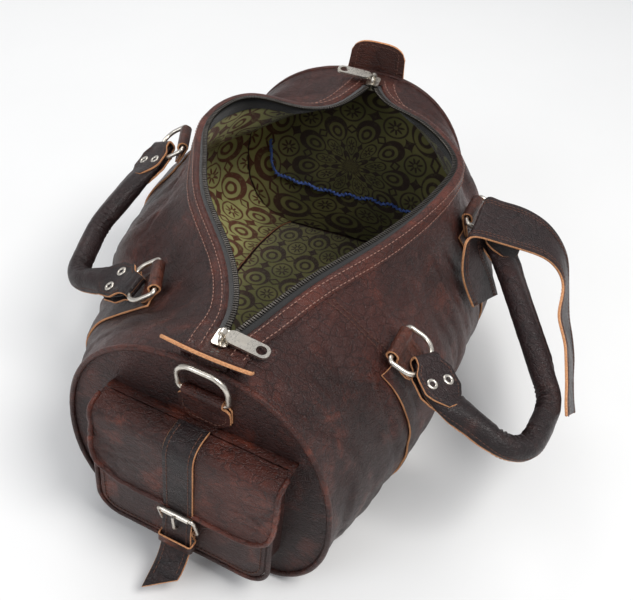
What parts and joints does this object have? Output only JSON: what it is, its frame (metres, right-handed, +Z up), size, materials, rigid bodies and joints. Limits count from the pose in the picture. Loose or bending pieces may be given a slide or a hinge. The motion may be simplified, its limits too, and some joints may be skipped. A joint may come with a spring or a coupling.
{
  "type": "leather duffel bag",
  "caption": "Soft leather duffel bag lying open along its zip, with a patterned lining, rolled side handles on hinged rings, a buckled end pocket and a leather wrap on a handle.",
  "frame": {"origin": "centre of the base, on the plane the base straps stand on", "axes": "+X along the bag towards the end with the pocket, +Y to its right side, +Z up"},
  "size_m": [0.4928, 0.4599, 0.2414],
  "materials": {
    "body_leather": "waxed pull-up",
    "piping_leather": "satin",
    "handle_leather": "satin",
    "handle_core": "matte",
    "lining_cotton": "printed twill",
    "zip_tape": "woven",
    "zip_teeth": "antique",
    "nickel": "satin nickel",
    "board": "matte"
  },
  "bodies": {
    "body": {"base_board": "board", "base_panel": "body_leather", "base_strap_front": "body_leather", "base_strap_rear": "body_leather", "buckle_chape": "body_leather", "buckle_frame": "nickel", "end_panel_front": "body_leather", "end_panel_rear": "body_leather", "end_ring_chape": "body_leather", "lining_end_front": "lining_cotton", "lining_end_rear": "lining_cotton", "lining_left": "lining_cotton", "lining_right": "lining_cotton", "piping_front": "piping_leather", "piping_rear": "piping_leather", "pocket_body": "body_leather", "pocket_flap_root": "body_leather", "pocket_piping": "piping_leather", "ring_chape_left_front": "body_leather", "ring_chape_left_rear": "body_leather", "ring_chape_right_front": "body_leather", "ring_chape_right_rear": "body_leather", "side_panel_left": "body_leather", "side_panel_right": "body_leather", "strap_keeper": "body_leather", "zip_facing_left": "body_leather", "zip_facing_right": "body_leather", "zip_tab_front": "body_leather", "zip_tab_rear": "body_leather", "zip_tape_left": "zip_tape", "zip_tape_right": "zip_tape", "zip_teeth_left": "zip_teeth", "zip_teeth_right": "zip_teeth"},
    "slider_front": {"slider_front": "nickel"},
    "slider_rear": {"slider_rear": "nickel"},
    "puller_front": {"puller_front": "nickel"},
    "puller_rear": {"puller_rear": "nickel"},
    "ring_right_front": {"ring_right_front": "nickel"},
    "ring_right_rear": {"ring_right_rear": "nickel"},
    "ring_left_front": {"ring_left_front": "nickel"},
    "ring_left_rear": {"ring_left_rear": "nickel"},
    "handle_right": {"handle_right": "handle_leather", "handle_core_right": "handle_core", "handle_rivets_right": "nickel", "handle_wrap": "handle_leather"},
    "handle_left": {"handle_left": "handle_leather", "handle_core_left": "handle_core", "handle_rivets_left": "nickel"},
    "end_ring": {"end_ring": "nickel"},
    "pocket_flap": {"pocket_flap": "body_leather", "closure_strap": "body_leather", "closure_strap_tail": "body_leather"},
    "buckle_prong": {"buckle_prong": "nickel"},
    "buckle_roller": {"buckle_roller": "nickel"}
  },
  "joints": [
    {"name": "slider_front_slide", "type": "slide", "parent": "body", "child": "slider_front", "axis": [0.9986, -0.0499, -0.02], "range_m": [0, 0.004]},
    {"name": "slider_rear_slide", "type": "slide", "parent": "body", "child": "slider_rear", "axis": [-0.9986, -0.0499, 0.02], "range_m": [0, 0.004]},
    {"name": "puller_front_swing", "type": "hinge", "parent": "slider_front", "child": "puller_front", "pos_m": [0.17715, 0.01039, 0.2107], "axis": [0.9986, -0.0499, -0.02], "range_deg": [0, 170]},
    {"name": "puller_rear_swing", "type": "hinge", "parent": "slider_rear", "child": "puller_rear", "pos_m": [-0.18685, 0.01661, 0.2225], "axis": [-0.9986, -0.0499, 0.02], "range_deg": [0, 150]},
    {"name": "ring_right_front_swing", "type": "hinge", "parent": "body", "child": "ring_right_front", "pos_m": [0.09811, 0.1223, 0.16809], "axis": [0.9924, -0.1159, -0.0422], "range_deg": [0, 60]},
    {"name": "ring_right_rear_swing", "type": "hinge", "parent": "body", "child": "ring_right_rear", "pos_m": [-0.08204, 0.14335, 0.17575], "axis": [0.9924, -0.1159, -0.0422], "range_deg": [0, 60]},
    {"name": "handle_right_swing", "type": "hinge", "parent": "ring_right_front", "child": "handle_right", "pos_m": [0.10039, 0.14531, 0.15859], "axis": [0.9924, -0.1159, -0.0422], "range_deg": [0, 20]},
    {"name": "ring_left_front_swing", "type": "hinge", "parent": "body", "child": "ring_left_front", "pos_m": [0.09899, -0.07899, 0.16797], "axis": [-0.9529, -0.3018, 0.0302], "range_deg": [0, 75]},
    {"name": "ring_left_rear_swing", "type": "hinge", "parent": "body", "child": "ring_left_rear", "pos_m": [-0.08273, -0.13653, 0.17373], "axis": [-0.9529, -0.3018, 0.0302], "range_deg": [0, 75]},
    {"name": "handle_left_swing", "type": "hinge", "parent": "ring_left_front", "child": "handle_left", "pos_m": [0.10496, -0.09919, 0.15451], "axis": [-0.9529, -0.3018, 0.0302], "range_deg": [0, 20]},
    {"name": "end_ring_swing", "type": "hinge", "parent": "body", "child": "end_ring", "pos_m": [0.2091, 0.00904, 0.17816], "axis": [0.1493, 0.9888, 0], "range_deg": [0, 100]},
    {"name": "pocket_flap_lift", "type": "hinge", "parent": "body", "child": "pocket_flap", "pos_m": [0.21449, 0.00519, 0.14691], "axis": [-0.1493, -0.9888, 0], "range_deg": [0, 70], "deforming": ["closure_strap_tail"]},
    {"name": "buckle_prong_swing", "type": "hinge", "parent": "body", "child": "buckle_prong", "pos_m": [0.23819, 0.0006, 0.05346], "axis": [0.1493, 0.9888, 0], "range_deg": [0, 60]},
    {"name": "buckle_roller_spin", "type": "hinge", "parent": "body", "child": "buckle_roller", "pos_m": [0.24347, -0.00019, 0.07574], "axis": [0.1493, 0.9888, 0], "continuous": true}
  ],
  "couplings": [
    {"joint": "ring_right_rear_swing", "follows": "ring_right_front_swing", "ratio": 1},
    {"joint": "ring_left_rear_swing", "follows": "ring_left_front_swing", "ratio": 1}
  ]
}
